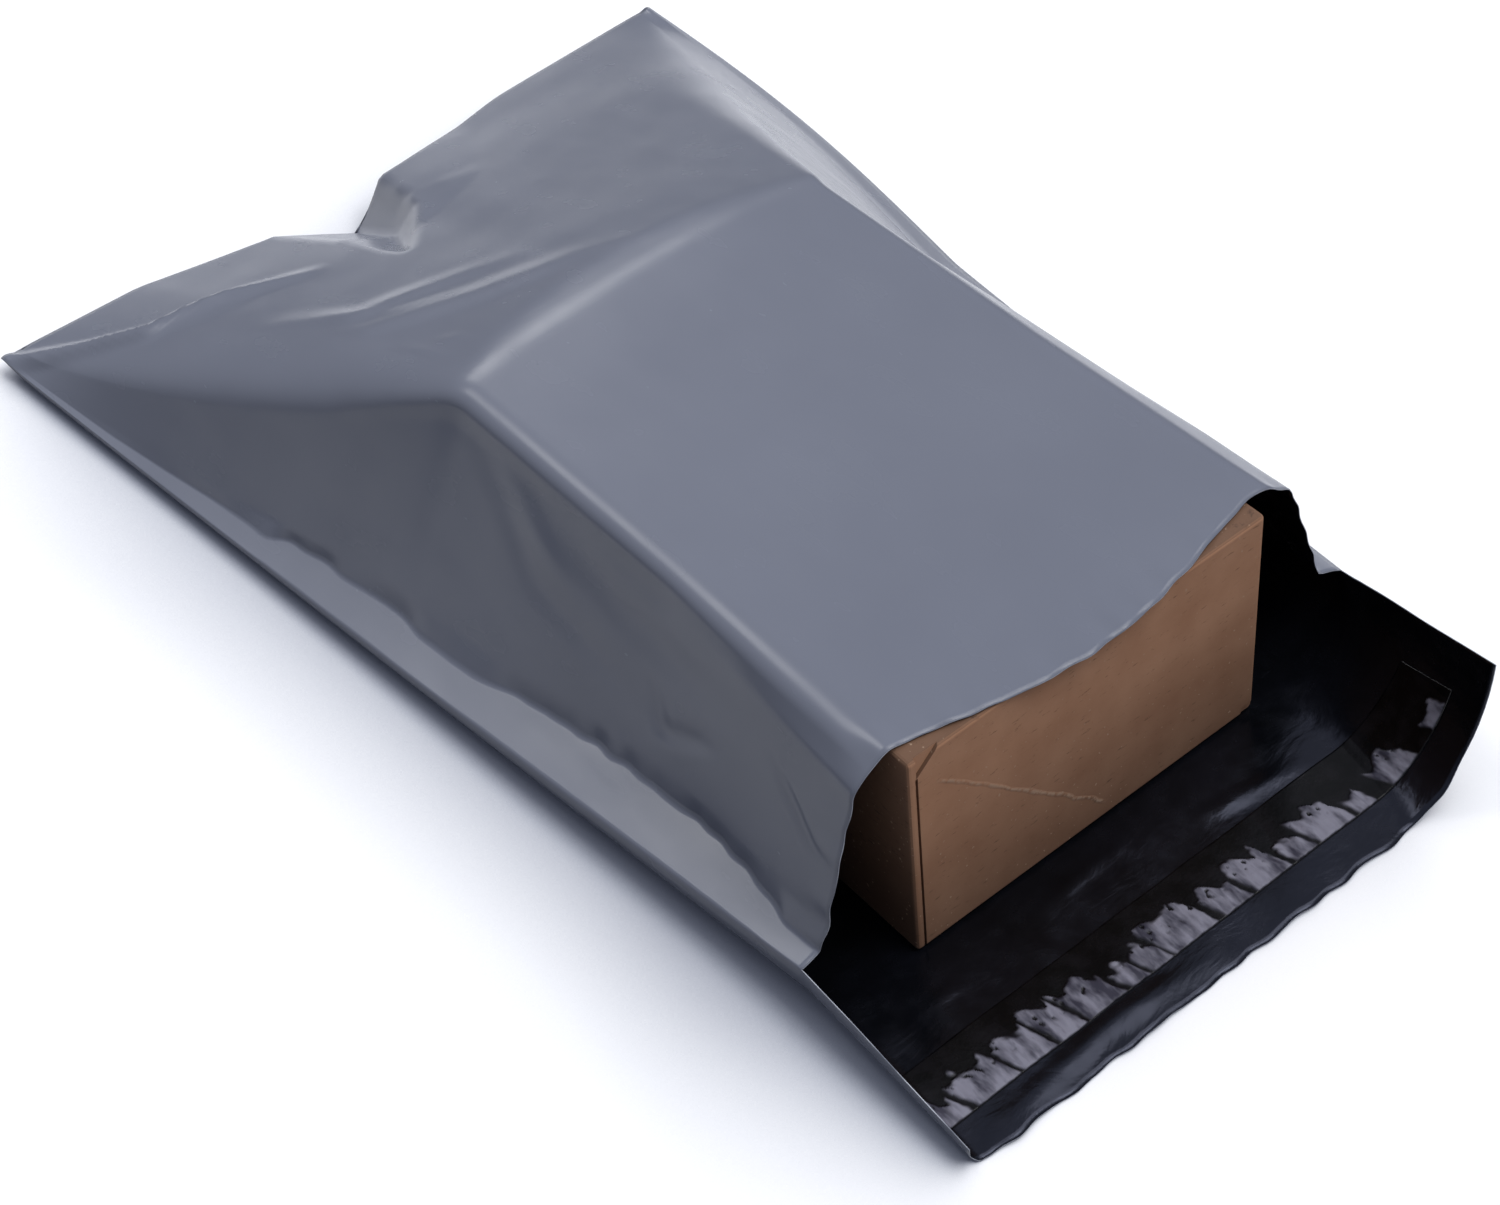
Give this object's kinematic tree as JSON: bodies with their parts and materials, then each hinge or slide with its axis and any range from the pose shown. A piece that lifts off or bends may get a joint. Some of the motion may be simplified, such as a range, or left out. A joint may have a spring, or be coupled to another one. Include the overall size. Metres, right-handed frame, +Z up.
{
  "type": "poly mailer bag",
  "caption": "Grey plastic mailing bag lying open with a kraft carton slid in, front film tented over it, black inside face and glue strip showing on the flap.",
  "frame": {"origin": "on the underside of the film, below the middle of the carton's front end", "axes": "+Y along the bag from its mouth to its closed end, +Z up from the table, +X across toward the far side"},
  "size_m": [0.2471, 0.4098, 0.075],
  "materials": {
    "mailer_film": "satin co-extruded polyethylene film, grey outside and glossy black inside, softly creased",
    "hot_melt_glue": "tacky dark hot-melt glue, uneven gloss",
    "liner_film": "clear silicone-coated release film, silvery where it lies off the glue",
    "kraft_board": "uncoated brown kraft board with fine flecks and a scuffed crease"
  },
  "bodies": {
    "root": {"mailer_bag": "mailer_film", "adhesive_strip": "hot_melt_glue", "release_liner": "liner_film", "carton": "kraft_board"}
  },
  "joints": []
}
